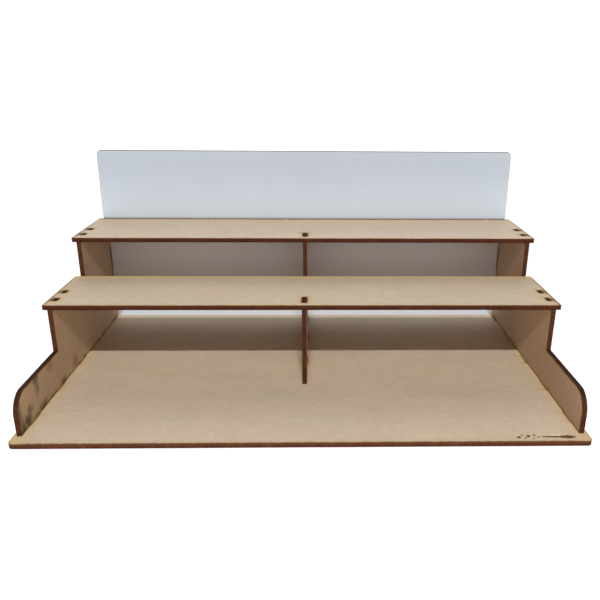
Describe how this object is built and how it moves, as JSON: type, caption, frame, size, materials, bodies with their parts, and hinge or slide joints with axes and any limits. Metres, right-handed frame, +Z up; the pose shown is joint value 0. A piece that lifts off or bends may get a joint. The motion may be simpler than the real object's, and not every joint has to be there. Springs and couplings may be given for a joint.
{
  "type": "paint rack organizer",
  "caption": "Stepped desktop rack for model-paint pots: a flat base board, raised shelf tiers on stepped uprights, low wings at the front and a tall back panel.",
  "frame": {"origin": "on the table, under the centre of the bounding box", "axes": "+X to the user's right along the rack's width, +Y from the open front towards the back panel, +Z up"},
  "size_m": [0.335, 0.219, 0.1405],
  "materials": {
    "mdf": "raw medium-density fibreboard, matt, with burnt dark brown laser-cut edges",
    "white_faced_mdf": "fibreboard with a smooth white facing on its front, satin, burnt dark brown laser-cut edges"
  },
  "bodies": {
    "root": {"base_board": "mdf", "left_side_panel": "mdf", "right_side_panel": "mdf", "centre_divider": "mdf", "lower_shelf": "mdf", "upper_shelf": "mdf", "back_panel": "white_faced_mdf"}
  },
  "joints": []
}
